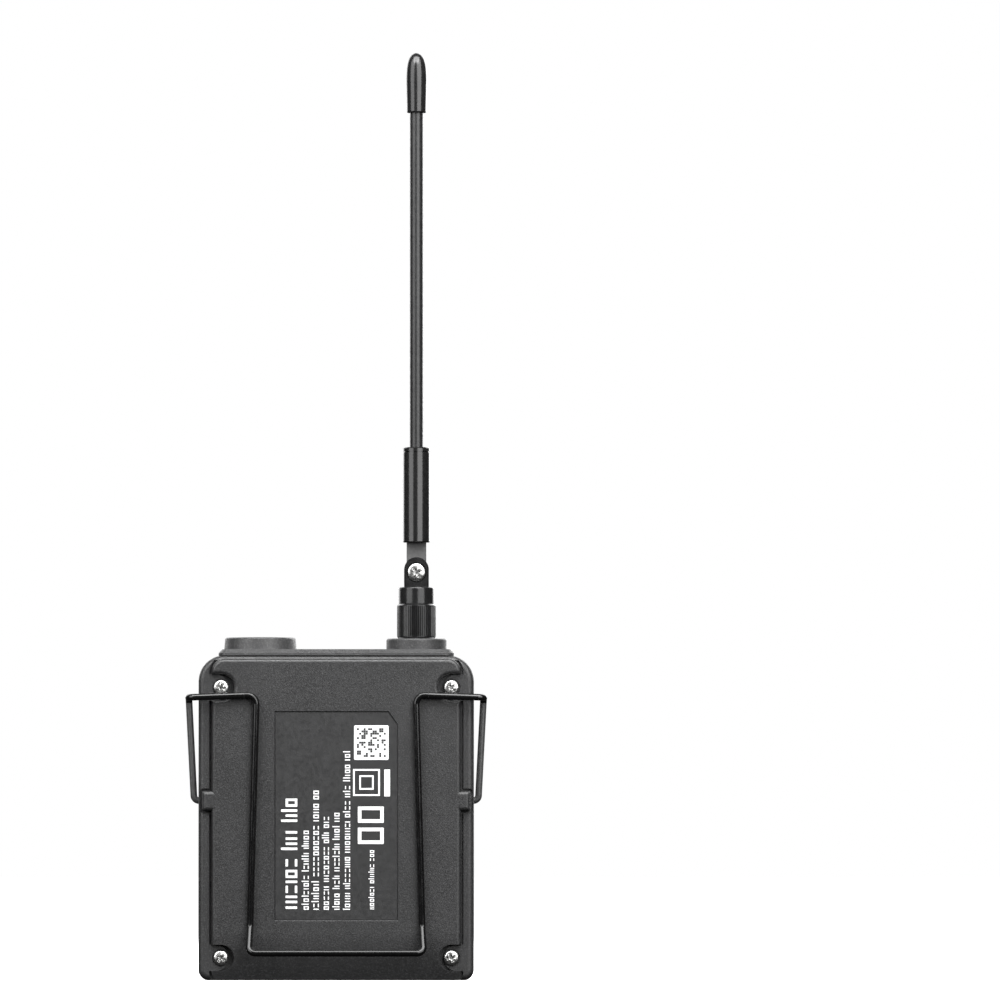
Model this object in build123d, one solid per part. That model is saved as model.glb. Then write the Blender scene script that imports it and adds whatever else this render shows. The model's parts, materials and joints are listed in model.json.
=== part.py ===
"""Wireless bodypack transmitter: casing, belt clip, tilting antenna, controls and insides.

Frame: millimetres, +Z up, the origin at the centre of the casing's bottom face. The display side
faces -Y, the belt clip side faces +Y, and X runs across the width.
"""
from build123d import *
from math import radians, sqrt, tan
import os

os.makedirs("parts", exist_ok=True)

# ---------------------------------------------------------------- driving dimensions
# Casing
WIDTH = 57.4
HEIGHT = 67.7
DEPTH = 20.5
HALF_WIDTH = WIDTH / 2
FRONT = -DEPTH / 2
BACK = DEPTH / 2
SPLIT = 1.5                      # the two covers meet at this depth
WALL = 1.6
TOP_CORNER = 5.4
BOTTOM_CORNER = 2.2
FRONT_EDGE = 2.0                 # rounding of the front rim
BACK_EDGE = 1.2                  # rounding of the back rim
COVER_GAP = 0.02                 # the covers touch without overlapping
SEAM = 0.18                      # both rims are bevelled by this much where the covers meet

# Raised back panel and the ledge around it
PANEL_RISE = 1.3
LEDGE = BACK - PANEL_RISE
PANEL_HALF = 25.95
PANEL_TOP = 67.0
PANEL_TOP_CORNER = 2.7
PANEL_BOTTOM_CORNER = 1.8
PANEL_EDGE = 0.8
GROOVE_WIDTH = 0.55
GROOVE_DEPTH = 0.85
GROOVE_TOP = 66.7                # the groove stops here, short of the panel's top edge
CURVE_TOP = 10.0                 # below this height the panel curves away towards the front
CURVE_DROP = 1.7                 # how far it has fallen away at the bottom of the casing
CURVE_RADIUS = (CURVE_TOP ** 2 + CURVE_DROP ** 2) / (2 * CURVE_DROP)
TAB_LOW = 35.3
TAB_HIGH = 39.4
TAB_HALF = 27.9                  # the side tabs reach this far out

# Case screws
SCREW_X = 24.0
SCREW_Z = (4.7, 61.0)
SCREW_POCKET = 2.75
SCREW_HEAD = 3.2 / 2
SCREW_HEAD_HEIGHT = 1.05
SCREW_SHANK = 0.85
SCREW_POST = 2.3
SCREW_SINK = 0.3                 # the heads sit this far below the ledge
POCKET_SINK = 0.9                # depth of the crescent between a screw and the panel, below the ledge
POCKET_SHIFT = 1.15              # greatest width of that crescent

# Label
LABEL_HALF = 12.75
LABEL_LOW = 12.5
LABEL_HIGH = 55.9
LABEL_CUT = (1.9, 2.7)
LABEL_RECESS = 0.32
LABEL_RIM = 0.16                 # bevel around the recess
LABEL_THICK = 0.12
LABEL_MARGIN = 0.12

# Top plate with its two bosses
PLATE_LOW = HEIGHT
PLATE_HIGH = 69.0
PLATE_HALF = 24.55
PLATE_FRONT = -8.0
PLATE_BACK = 8.6
PLATE_CORNER = 2.2
PLATE_BEVEL = 0.8
BOSS_EDGE = 0.4
JACK_X = 15.87
JACK_BOSS = 7.6
JACK_BOSS_TOP = 71.5
JACK_BOSS_TAPER = 0.25
JACK_RECESS = 6.1
ANTENNA_X = -16.76
ANTENNA_BOSS = 6.28
ANTENNA_BOSS_TOP = 71.3
ANTENNA_RECESS = 4.9

# Microphone jack, 3.5 mm
JACK_BARREL = 4.0
JACK_BORE = 1.8
JACK_FLOOR = 57.0
JACK_TOP = 71.2
JACK_BODY = 8.4
JACK_BODY_LOW = 54.0

# Antenna, from the socket upwards
SOCKET_BARREL = 3.1
SOCKET_BORE = 2.4
SOCKET_TOP = 76.6
SOCKET_FLANGE = 4.9
CONTACT = 0.75
CONTACT_TOP = 71.5
NUT_RADIUS = 4.05
NUT_LOW = 71.33
NUT_HIGH = 78.6
NUT_LIP_LOW = 77.3
NUT_RIDGES = 56
NUT_GROOVE = 0.26                # the knurling is cut with this square, turned on its corner
RING_LOW = 76.65                 # the split ring that holds the nut on the neck
RING_HIGH = 77.05
NECK = 2.3
NECK_LOW = 72.6
PLUG_BORE = 1.5
PLUG_PIN = 0.46
PLUG_LOW = 70.0
PLUG_HIGH = 77.6
COLLAR = 3.74
COLLAR_LOW = 78.65
COLLAR_HIGH = 82.1
FORK_HALF = 2.57
FORK_DEPTH = 5.2
FORK_SLOT = 1.7
PIVOT_Z = 85.15
PIVOT_SHANK = 0.8
PIVOT_BORE = 0.85
PIVOT_HEAD = 3.87 / 2
FORK_ARCH = 0.6                  # the fork's rounded top is centred this far above the pivot
BLADE_HALF = 2.05
BLADE_THICK = 1.6
SLEEVE = 5.7 / 2
SLEEVE_LOW = 91.45
SLEEVE_HIGH = 111.35
SLEEVE_GROOVE_Z = 110.4
ROD = 2.81 / 2
ROD_SEAT = 104.0
WHIP_WIRE = 0.6
CAP_RADIUS = 4.42 / 2
CAP_MOUTH = 4.1 / 2
CAP_LOW = 181.45
CAP_WIDE = 188.1
CAP_TOP = 194.0
ROD_TOP = 187.5

# Belt clip, bent from one size of wire
WIRE = 0.7
CLIP_HOLE_Y = 5.0
CLIP_HOLE_Z = 37.45
CLIP_REST_Y = BACK + WIRE + 0.35
CLIP_OUTER_X = 30.75
CLIP_ELBOW_X = 29.65
CLIP_OUTER_Z = 58.9
CLIP_INNER_X = 16.6
CLIP_INNER_Z = 59.4
CLIP_JOIN_X = 19.2
CLIP_JOIN_GAP = 0.06
CLIP_KINK_X = 17.9
CLIP_KINK_Z = 11.2
CLIP_LIP_X = 18.2
CLIP_LIP_Z = 5.7
CLIP_LIP_ANGLE = 30
BUSHING = 1.6

# Inside
BOARD_FRONT = -4.4
BOARD_THICK = 1.2
BOARD_BACK = BOARD_FRONT + BOARD_THICK
BOARD_HALF = 25.0
BOARD_LOW = 8.0
BOARD_HIGH = 58.0
BOARD_POST_X = 22.6
BOARD_POST_Z = (13.0, 53.5)
CELL_HALF = 18.0
CELL_LOW = 9.0
CELL_HIGH = 44.0
CELL_FRONT = -0.9
CELL_BACK = 5.7

# Front face
FACE_PANEL_HALF = 21.5
FACE_PANEL_LOW = 9.0
FACE_PANEL_HIGH = 62.5
FACE_PANEL_DEPTH = 0.3
WINDOW_HALF = 17.0
WINDOW_LOW = 37.5
WINDOW_HIGH = 57.5
WINDOW_THICK = 1.0
SCREEN_MARGIN = 1.6
KEY_TRAVEL = 0.5
KEY_GAP = 0.15
KEY_PROUD = 0.55
KEY_Z = 27.0
KEY_SPACING = 12.5
KEY_SIZE = (9.0, 5.2)
POWER_Z = 17.3
POWER_RADIUS = 3.6
LIGHT_X = 13.0
LIGHT_RADIUS = 1.0
INFRARED_X = -13.0
PORT_Z = 20.0
PORT_Y = -1.55


# ---------------------------------------------------------------- helpers
def slab(sketch, front, back):
    """A sketch drawn in X and Z, made solid from depth front to depth back."""
    plane = Plane(origin=(0, back, 0), x_dir=(1, 0, 0), z_dir=(0, -1, 0))
    return extrude(plane * sketch, back - front)


def block(x_range, y_range, z_range):
    """A box from its lowest and highest values along each axis."""
    size = [high - low for low, high in (x_range, y_range, z_range)]
    middle = [(low + high) / 2 for low, high in (x_range, y_range, z_range)]
    return Pos(*middle) * Box(*size)


def upright(x, radius, low, high, y=0):
    """A cylinder along Z."""
    return Pos(x, y, (low + high) / 2) * Cylinder(radius, high - low)


def ring_up(x, outer, inner, low, high):
    """An upright tube."""
    return upright(x, outer, low, high) - upright(x, inner, low - 1, high + 1)


def through(x, z, radius, front, back):
    """A cylinder along Y."""
    return slab(Pos(x, z) * Circle(radius), front, back)


def crosswise(y, z, radius, low_x, high_x):
    """A cylinder along X."""
    return Pos((low_x + high_x) / 2, y, z) * Rot(0, 90, 0) * Cylinder(radius, high_x - low_x)


def corner_box(half, low, high, top_radius, bottom_radius):
    """A rectangle, centred on X, with its own radius at the top and at the bottom."""
    corners = [(-half, low), (half, low), (half, high), (-half, high)]
    radii = [bottom_radius, bottom_radius, top_radius, top_radius]
    return make_face(FilletPolyline(*corners, radius=radii, close=True))


def rounded(x, z, width, height, radius):
    """A rounded rectangle in X and Z."""
    return Pos(x, z) * RectangleRounded(width, height, radius)


def tongue(x, half, square_end, round_centre):
    """A strip in X and Z with one square end, and one round end about its centre."""
    tip = round_centre + (half if round_centre > square_end else -half)
    outline = Polyline((x + half, round_centre), (x + half, square_end), (x - half, square_end),
                       (x - half, round_centre))
    outline += ThreePointArc((x - half, round_centre), (x, tip), (x + half, round_centre))
    return make_face(outline)


def wire_along(points, radii, wire_radius=WIRE):
    """Round wire bent along straight runs joined by arcs."""
    path = FilletPolyline(*points, radius=radii)
    return sweep(Plane(path @ 0, z_dir=path % 0) * Circle(wire_radius), path)


def cross_recess(radius, depth):
    """The cutter for a cross slot, around the origin, opening upwards."""
    arm = Box(radius * 2, radius * 0.42, depth * 2)
    return arm + Rot(0, 0, 90) * arm


def pan_head_screw(head_radius, head_height, shank_radius, shank_length):
    """A cross-head screw with its head above the origin and its shank below."""
    head = Cylinder(head_radius, head_height, align=(Align.CENTER, Align.CENTER, Align.MIN))
    head = fillet(head.edges().sort_by(Axis.Z)[-1], head_height * 0.6)
    recess = Pos(0, 0, head_height) * Rot(0, 0, 20) * cross_recess(head_radius * 0.62, head_height * 0.6)
    shank = Cylinder(shank_radius, shank_length, align=(Align.CENTER, Align.CENTER, Align.MAX))
    return head - recess + shank


def facing_back(x, y, z, shape):
    """Stands a shape made along Z so that it points to the back, with its origin at x, y, z."""
    return Pos(x, y, z) * Rot(-90, 0, 0) * shape


def post_places(x, heights):
    """Places on both sides of the middle, at each height."""
    return [(side * x, z) for z in heights for side in (-1, 1)]


def both_sides(shape):
    """A shape and its mirror image across the middle of the width."""
    return [shape, mirror(shape, about=Plane.YZ)]


def save(name, *solids):
    """Writes one node, as one solid or as a group of separate solids."""
    shape = solids[0] if len(solids) == 1 else Compound(children=list(solids))
    export_step(shape, "parts/" + name + ".step")


# ---------------------------------------------------------------- casing
def casing_outline(inset=0):
    return corner_box(HALF_WIDTH - inset, inset, HEIGHT - inset, TOP_CORNER - inset,
                      max(BOTTOM_CORNER - inset, 0.6))


def panel_sheet():
    """The raised back panel's outline with its side tabs, before the screw pockets are cut."""
    sheet = corner_box(PANEL_HALF, 0, PANEL_TOP, PANEL_TOP_CORNER, PANEL_BOTTOM_CORNER)
    return sheet + rounded(0, (TAB_LOW + TAB_HIGH) / 2, 2 * TAB_HALF, TAB_HIGH - TAB_LOW, 0.3)


def screw_pockets():
    """Round pockets at the screws, open towards the sides."""
    pockets = []
    for x, z in post_places(SCREW_X, SCREW_Z):
        outwards = 5 if x > 0 else -5
        pockets.append(Pos(x, z) * Circle(SCREW_POCKET))
        pockets.append(Pos(x + outwards, z) * Rectangle(10, SCREW_POCKET * 2))
    return pockets


def pocket_crescents():
    """The deeper strip along each pocket's inner wall."""
    crescents = []
    for x, z in post_places(SCREW_X, SCREW_Z):
        outwards = POCKET_SHIFT if x > 0 else -POCKET_SHIFT
        full = Pos(x, z) * Circle(SCREW_POCKET - 0.03)
        crescents.append(full - Pos(x + outwards, z) * Circle(SCREW_POCKET))
    return crescents


def curve_cutter():
    """What the curve at the panel's foot takes away."""
    def point(below):
        return (0, BACK - CURVE_RADIUS + sqrt(CURVE_RADIUS ** 2 - below ** 2), CURVE_TOP - below)

    length = CURVE_TOP + 2
    curve = ThreePointArc(point(0), point(length / 2), point(length))
    rest = Polyline(point(length), (0, BACK + 5, CURVE_TOP - length), (0, BACK + 5, CURVE_TOP), point(0))
    return extrude(make_face(curve + rest), 2 * WIDTH, dir=(1, 0, 0), both=True)


def recess_rim(shell):
    """The edges where the label's recess meets the panel."""
    rim = shell.edges().filter_by_position(Axis.Y, BACK - 0.001, BACK + 0.001)
    rim = rim.filter_by_position(Axis.X, -LABEL_HALF - 0.5, LABEL_HALF + 0.5)
    return rim.filter_by_position(Axis.Z, LABEL_LOW - 0.5, LABEL_HIGH + 0.5)


def connector_holes():
    return upright(JACK_X, JACK_BARREL + 0.2, 60, 80) + upright(ANTENNA_X, SOCKET_BARREL + 0.2, 60, 80)


def rear_cover():
    shell = slab(casing_outline(), SPLIT, LEDGE)
    shell = fillet(shell.faces().sort_by(Axis.Y)[-1].edges(), BACK_EDGE)
    shell = chamfer(shell.faces().sort_by(Axis.Y)[0].edges(), SEAM)
    panel = panel_sheet() - screw_pockets()
    groove = offset(panel_sheet(), GROOVE_WIDTH) - panel_sheet() - screw_pockets()
    groove -= Pos(0, GROOVE_TOP + 5) * Rectangle(WIDTH, 10)
    shell -= slab(groove, LEDGE - GROOVE_DEPTH, BACK)
    for crescent in pocket_crescents():
        shell -= slab(crescent, LEDGE - POCKET_SINK, BACK)
    raised = slab(panel, LEDGE - 1.2, BACK) - curve_cutter()
    back_face = raised.faces().sort_by(Axis.Y)[-1]
    raised = fillet(back_face.edges(), PANEL_EDGE)
    shell = shell - slab(panel, LEDGE - 1.2, BACK) + raised
    shell -= slab(casing_outline(WALL), SPLIT - 1, LEDGE - WALL)
    label = label_outline(0)
    shell -= slab(label, BACK - LABEL_RECESS, BACK + 1)
    shell = chamfer(recess_rim(shell), LABEL_RIM)
    for x, z in post_places(SCREW_X, SCREW_Z):
        shell += through(x, z, SCREW_POST, SPLIT, LEDGE - WALL + 0.5)
        shell -= through(x, z, SCREW_SHANK + 0.15, SPLIT - 1, BACK)
        shell -= through(x, z, SCREW_HEAD + 0.25, LEDGE - SCREW_SINK, BACK + 1)
    for side in (-1, 1):
        inner, outer = sorted((side * (HALF_WIDTH - 4.2), side * (HALF_WIDTH + 1)))
        lug_in, lug_out = sorted((side * (HALF_WIDTH - 3.4), side * (HALF_WIDTH - 1)))
        shell += block((lug_in, lug_out), (CLIP_HOLE_Y - 2.6, LEDGE - 1), (CLIP_HOLE_Z - 2.6, CLIP_HOLE_Z + 2.6))
        shell -= crosswise(CLIP_HOLE_Y, CLIP_HOLE_Z, BUSHING, inner, outer)
    return shell - connector_holes()


def front_cover():
    shell = slab(casing_outline(), FRONT, SPLIT - COVER_GAP)
    shell = fillet(shell.faces().sort_by(Axis.Y)[0].edges(), FRONT_EDGE)
    shell = chamfer(shell.faces().sort_by(Axis.Y)[-1].edges(), SEAM)
    shell -= slab(casing_outline(WALL), FRONT + WALL, SPLIT + 1)
    for x, z in post_places(SCREW_X, SCREW_Z):
        shell += through(x, z, SCREW_POST, FRONT + WALL - 0.5, SPLIT - COVER_GAP)
        shell -= through(x, z, SCREW_SHANK, FRONT + WALL + 1, SPLIT + 1)
    for x, z in post_places(BOARD_POST_X, BOARD_POST_Z):
        shell += through(x, z, 1.8, FRONT + WALL - 0.5, BOARD_FRONT)
        shell -= through(x, z, 0.7, BOARD_FRONT - 3, BOARD_FRONT + 1)
    panel_mid = (FACE_PANEL_LOW + FACE_PANEL_HIGH) / 2
    panel = rounded(0, panel_mid, FACE_PANEL_HALF * 2, FACE_PANEL_HIGH - FACE_PANEL_LOW, 3)
    shell -= slab(panel, FRONT - 1, FRONT + FACE_PANEL_DEPTH)
    shell -= slab(window_outline(0), FRONT - 1, FRONT + FACE_PANEL_DEPTH + WINDOW_THICK - 0.2)
    shell -= slab(window_outline(SCREEN_MARGIN), FRONT - 1, FRONT + 5)
    for x in key_places():
        shell -= slab(rounded(x, KEY_Z, KEY_SIZE[0] + 2 * KEY_GAP, KEY_SIZE[1] + 2 * KEY_GAP, 1.4), FRONT - 1, -5)
    shell -= through(0, POWER_Z, POWER_RADIUS + KEY_GAP, FRONT - 1, -5)
    shell -= through(LIGHT_X, POWER_Z, LIGHT_RADIUS, FRONT - 1, -5)
    shell -= slab(rounded(INFRARED_X, POWER_Z, 5, 3, 1), FRONT - 1, -5)
    shell -= port_shape(0, 24, 40)
    return shell - connector_holes()


def top_plate():
    plate = block((-PLATE_HALF, PLATE_HALF), (PLATE_FRONT, PLATE_BACK), (PLATE_LOW, PLATE_HIGH))
    plate = fillet(plate.edges().filter_by(Axis.Z), PLATE_CORNER)
    plate = chamfer(plate.faces().sort_by(Axis.Z)[-1].edges(), PLATE_BEVEL)
    jack_boss = loft([Pos(JACK_X, 0, PLATE_HIGH - 0.2) * Circle(JACK_BOSS),
                      Pos(JACK_X, 0, JACK_BOSS_TOP) * Circle(JACK_BOSS - JACK_BOSS_TAPER)])
    jack_boss = fillet(jack_boss.edges().sort_by(Axis.Z)[-1], BOSS_EDGE)
    antenna_boss = upright(ANTENNA_X, ANTENNA_BOSS, PLATE_HIGH - 0.2, ANTENNA_BOSS_TOP)
    antenna_boss = fillet(antenna_boss.edges().sort_by(Axis.Z)[-1], BOSS_EDGE)
    plate = plate + jack_boss + antenna_boss
    plate -= upright(JACK_X, JACK_RECESS, PLATE_HIGH, JACK_BOSS_TOP + 1)
    plate -= upright(ANTENNA_X, ANTENNA_RECESS, PLATE_HIGH, ANTENNA_BOSS_TOP + 1)
    return plate - connector_holes()


def label_outline(margin):
    half = LABEL_HALF - margin
    low = LABEL_LOW + margin
    high = LABEL_HIGH - margin
    cut_x, cut_z = LABEL_CUT
    outline = Polyline((-half, low), (half, low), (half, high), (cut_x - half, high), (-half, high - cut_z),
                       close=True)
    return make_face(outline)


def rating_label():
    floor = BACK - LABEL_RECESS
    return slab(label_outline(LABEL_MARGIN), floor, floor + LABEL_THICK)


def case_screws():
    length = LEDGE - FRONT - 5
    screw = pan_head_screw(SCREW_HEAD, SCREW_HEAD_HEIGHT, SCREW_SHANK, length)
    return [facing_back(x, LEDGE - SCREW_SINK, z, screw) for x, z in post_places(SCREW_X, SCREW_Z)]


# ---------------------------------------------------------------- belt clip
def clip_bushings():
    bush = crosswise(CLIP_HOLE_Y, CLIP_HOLE_Z, BUSHING, HALF_WIDTH - 3.4, HALF_WIDTH - 0.2)
    bush -= crosswise(CLIP_HOLE_Y, CLIP_HOLE_Z, WIRE + 0.05, HALF_WIDTH - 5, HALF_WIDTH + 1)
    return both_sides(bush)


def bar_height(x):
    """Height of the sloping top bar's centre line at a place across the width."""
    return CLIP_INNER_Z + (CLIP_OUTER_Z - CLIP_INNER_Z) * (x - CLIP_INNER_X) / (CLIP_OUTER_X - CLIP_INNER_X)


def clip_arm(side):
    points = [(side * (HALF_WIDTH - 3), CLIP_HOLE_Y, CLIP_HOLE_Z),
              (side * CLIP_ELBOW_X, CLIP_HOLE_Y, CLIP_HOLE_Z),
              (side * CLIP_OUTER_X, CLIP_HOLE_Y, CLIP_OUTER_Z),
              (side * CLIP_OUTER_X, CLIP_REST_Y, CLIP_OUTER_Z),
              (side * CLIP_JOIN_X, CLIP_REST_Y, bar_height(CLIP_JOIN_X))]
    return wire_along(points, [1.1, 1.2, 1.2])


def belt_clip_loop():
    lip_y = CLIP_REST_Y + (CLIP_KINK_Z - CLIP_LIP_Z) * tan(radians(CLIP_LIP_ANGLE))
    join_x = CLIP_JOIN_X - CLIP_JOIN_GAP
    half = [(join_x, CLIP_REST_Y, bar_height(join_x)),
            (CLIP_INNER_X, CLIP_REST_Y, CLIP_INNER_Z),
            (CLIP_KINK_X, CLIP_REST_Y, CLIP_KINK_Z),
            (CLIP_LIP_X, lip_y, CLIP_LIP_Z)]
    other_half = [(-x, y, z) for x, y, z in reversed(half)]
    radii = [1.8, 1.5, 1.4]
    return wire_along(half + other_half, radii + radii[::-1])


# ---------------------------------------------------------------- microphone socket
def mic_jack():
    body = block((JACK_X - JACK_BODY / 2, JACK_X + JACK_BODY / 2), (-JACK_BODY / 2, JACK_BODY / 2),
                 (JACK_BODY_LOW, HEIGHT - WALL))
    barrel = upright(JACK_X, JACK_BARREL, HEIGHT - WALL - 0.5, JACK_TOP)
    barrel = chamfer(barrel.edges().sort_by(Axis.Z)[-1], 0.4)
    for turn in range(5):
        groove_z = PLATE_HIGH - 0.6 + turn * 0.5
        barrel -= ring_up(JACK_X, JACK_BARREL + 1, JACK_BARREL - 0.15, groove_z, groove_z + 0.22)
    return body + barrel - upright(JACK_X, JACK_BORE, JACK_FLOOR, JACK_TOP + 1)


def mic_jack_nut():
    nut = ring_up(JACK_X, JACK_RECESS - 0.3, JACK_BARREL + 0.02, PLATE_HIGH, PLATE_HIGH + 1.3)
    slot = Pos(JACK_X, 0, PLATE_HIGH + 1.3) * Box(20, 1.1, 1.0)
    return nut - slot


# ---------------------------------------------------------------- antenna
def sma_socket():
    flange = upright(ANTENNA_X, SOCKET_FLANGE, HEIGHT - WALL - 1.5, HEIGHT - WALL)
    tail = upright(ANTENNA_X, SOCKET_BARREL, HEIGHT - WALL - 5, HEIGHT - WALL - 1)
    barrel = upright(ANTENNA_X, SOCKET_BARREL, HEIGHT - WALL - 1, SOCKET_TOP)
    socket = flange + tail + barrel
    return socket - upright(ANTENNA_X, SOCKET_BORE, HEIGHT - WALL - 4, SOCKET_TOP + 1) \
        - upright(ANTENNA_X, 0.5, HEIGHT - WALL - 6, HEIGHT - WALL)


def sma_insulator():
    return ring_up(ANTENNA_X, SOCKET_BORE, CONTACT, HEIGHT - WALL - 4, CONTACT_TOP)


def sma_contact():
    contact = upright(ANTENNA_X, CONTACT, HEIGHT - WALL - 4, CONTACT_TOP)
    contact += upright(ANTENNA_X, 0.35, HEIGHT - WALL - 7, HEIGHT - WALL - 3)
    return contact - upright(ANTENNA_X, 0.5, 69, 72)


def sma_socket_nut():
    hexagon = RegularPolygon(4.0, 6, major_radius=False)
    nut = extrude(Pos(ANTENNA_X, 0, PLATE_HIGH) * hexagon, 1.8)
    return nut - upright(ANTENNA_X, SOCKET_BARREL + 0.02, PLATE_HIGH - 1, PLATE_HIGH + 3)


def antenna_nut():
    nut = upright(ANTENNA_X, NUT_RADIUS, NUT_LOW, NUT_HIGH)
    nut = chamfer(nut.edges().filter_by(GeomType.CIRCLE), 0.35)
    groove_low = NUT_LOW + 0.5
    groove_high = NUT_HIGH - 0.5
    cutters = []
    for index in range(NUT_RIDGES):
        angle = 360 * index / NUT_RIDGES
        cutters.append(Pos(ANTENNA_X, 0, (groove_low + groove_high) / 2) * Rot(0, 0, angle)
                       * Pos(NUT_RADIUS, 0, 0) * Rot(0, 0, 45) * Box(NUT_GROOVE, NUT_GROOVE, groove_high - groove_low))
    nut = nut - cutters
    nut -= upright(ANTENNA_X, SOCKET_BARREL + 0.1, NUT_LOW - 1, NUT_LIP_LOW)
    return nut - upright(ANTENNA_X, NECK + 0.1, NUT_LOW, NUT_HIGH + 1)


def antenna_knuckle():
    collar = upright(ANTENNA_X, COLLAR, COLLAR_LOW, COLLAR_HIGH)
    collar = fillet(collar.edges().sort_by(Axis.Z)[-1], 0.35)
    neck = upright(ANTENNA_X, NECK, NECK_LOW, COLLAR_LOW + 0.5)
    neck -= ring_up(ANTENNA_X, NECK + 1, NECK - 0.4, RING_LOW - 0.05, RING_HIGH + 0.05)
    outline = tongue(ANTENNA_X, FORK_HALF, COLLAR_HIGH - 0.5, PIVOT_Z + FORK_ARCH)
    fork = slab(outline, -FORK_DEPTH / 2, FORK_DEPTH / 2)
    rims = fork.faces().sort_by(Axis.Y)[-1].edges() + fork.faces().sort_by(Axis.Y)[0].edges()
    fork = chamfer(rims, 0.3)
    slot_low = PIVOT_Z - BLADE_HALF - 0.3
    fork -= block((ANTENNA_X - 4, ANTENNA_X + 4), (-FORK_SLOT / 2, FORK_SLOT / 2), (slot_low, PIVOT_Z + 4))
    knuckle = collar + neck + fork
    knuckle -= through(ANTENNA_X, PIVOT_Z, PIVOT_SHANK, -FORK_DEPTH, FORK_DEPTH)
    knuckle -= through(ANTENNA_X, PIVOT_Z, PIVOT_HEAD + 0.15, FORK_DEPTH / 2 - 0.5, FORK_DEPTH)
    return knuckle - upright(ANTENNA_X, PLUG_BORE, NECK_LOW - 1, PLUG_HIGH)


def antenna_pivot_screw():
    return facing_back(ANTENNA_X, FORK_DEPTH / 2 - 0.5, PIVOT_Z,
                       pan_head_screw(PIVOT_HEAD, 1.0, PIVOT_SHANK, FORK_DEPTH - 0.6))


def antenna_ring():
    ring = ring_up(ANTENNA_X, 2.9, NECK - 0.4, RING_LOW, RING_HIGH)
    return ring - block((ANTENNA_X, ANTENNA_X + 4), (-0.4, 0.4), (RING_LOW - 1, RING_HIGH + 1))


def antenna_plug_insulator():
    return ring_up(ANTENNA_X, PLUG_BORE, PLUG_PIN, NECK_LOW, PLUG_HIGH)


def antenna_plug_pin():
    pin = upright(ANTENNA_X, PLUG_PIN, PLUG_LOW, PLUG_HIGH)
    return fillet(pin.edges().sort_by(Axis.Z)[0], 0.3)


def antenna_ferrule():
    blade = slab(tongue(ANTENNA_X, BLADE_HALF, SLEEVE_LOW + 0.5, PIVOT_Z), -BLADE_THICK / 2, BLADE_THICK / 2)
    blade -= through(ANTENNA_X, PIVOT_Z, PIVOT_BORE, -3, 3)
    sleeve = upright(ANTENNA_X, SLEEVE, SLEEVE_LOW, SLEEVE_HIGH)
    sleeve = chamfer(sleeve.edges().filter_by(GeomType.CIRCLE), 0.2)
    sleeve -= ring_up(ANTENNA_X, SLEEVE + 1, SLEEVE - 0.2, SLEEVE_GROOVE_Z - 0.1, SLEEVE_GROOVE_Z + 0.1)
    return blade + sleeve - upright(ANTENNA_X, ROD, ROD_SEAT, SLEEVE_HIGH + 1)


def antenna_rod():
    return ring_up(ANTENNA_X, ROD, WHIP_WIRE, ROD_SEAT, ROD_TOP)


def antenna_whip_wire():
    return upright(ANTENNA_X, WHIP_WIRE, ROD_SEAT, ROD_TOP - 1)


def antenna_cap():
    """The rubber tip: it widens from its mouth and ends in a long dome."""
    outline = Polyline((0, CAP_TOP), (0, CAP_LOW), (CAP_MOUTH, CAP_LOW), (CAP_RADIUS, CAP_WIDE))
    outline += Spline((CAP_RADIUS, CAP_WIDE), (0, CAP_TOP), tangents=[(0, 1), (-1, 0)],
                      tangent_scalars=[1.6, 0.9])
    face = Plane.XZ * make_face(outline)
    cap = Pos(ANTENNA_X, 0, 0) * revolve(face, Axis.Z)
    cap = fillet(cap.edges().group_by(Axis.Z)[0], 0.35)
    return cap - upright(ANTENNA_X, ROD, CAP_LOW - 1, ROD_TOP)


# ---------------------------------------------------------------- front face
def window_outline(inset):
    middle = (WINDOW_LOW + WINDOW_HIGH) / 2
    return rounded(0, middle, (WINDOW_HALF - inset) * 2, WINDOW_HIGH - WINDOW_LOW - inset * 2, 1.2)


def display_window():
    front = FRONT + FACE_PANEL_DEPTH - 0.2
    window = slab(rounded(0, (WINDOW_LOW + WINDOW_HIGH) / 2, WINDOW_HALF * 2 - 0.2,
                          WINDOW_HIGH - WINDOW_LOW - 0.2, 1.1), front, front + WINDOW_THICK)
    return chamfer(window.faces().sort_by(Axis.Y)[0].edges(), 0.2)


def lcd_module():
    return block((-WINDOW_HALF + 1, WINDOW_HALF - 1), (FRONT + WALL + 0.3, FRONT + WALL + 2.1),
                 (WINDOW_LOW + 0.5, WINDOW_HIGH - 0.5))


def lcd_holder():
    outer = block((-WINDOW_HALF - 0.4, WINDOW_HALF + 0.4), (FRONT + WALL, BOARD_FRONT),
                  (WINDOW_LOW - 0.9, WINDOW_HIGH + 0.3))
    inner = block((-WINDOW_HALF + 1, WINDOW_HALF - 1), (FRONT, BOARD_FRONT + 1),
                  (WINDOW_LOW + 0.5, WINDOW_HIGH - 0.5))
    return outer - inner


def key_places():
    return [step * KEY_SPACING for step in (-1, 0, 1)]


def key_cap(outline, flange):
    """A push button: its face, the flange that keeps it in, and the stem to its switch."""
    face_front = FRONT - KEY_PROUD + FACE_PANEL_DEPTH
    flange_front = FRONT + WALL + 0.05
    cap = slab(outline, face_front, flange_front + 0.1)
    cap = fillet(cap.faces().sort_by(Axis.Y)[0].edges(), 0.35)
    return cap + slab(flange, flange_front, flange_front + 0.6)


def key_stem(x, z):
    return through(x, z, 1.0, FRONT + WALL + 0.4, switch_tip() - KEY_TRAVEL - 0.05)


def switch_tip():
    return BOARD_FRONT - 2.0


def menu_key(x):
    outline = rounded(x, KEY_Z, KEY_SIZE[0], KEY_SIZE[1], 1.25)
    flange = rounded(x, KEY_Z, KEY_SIZE[0] + 1.6, KEY_SIZE[1] + 1.6, 1.5)
    return key_cap(outline, flange) + key_stem(x, KEY_Z)


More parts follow.
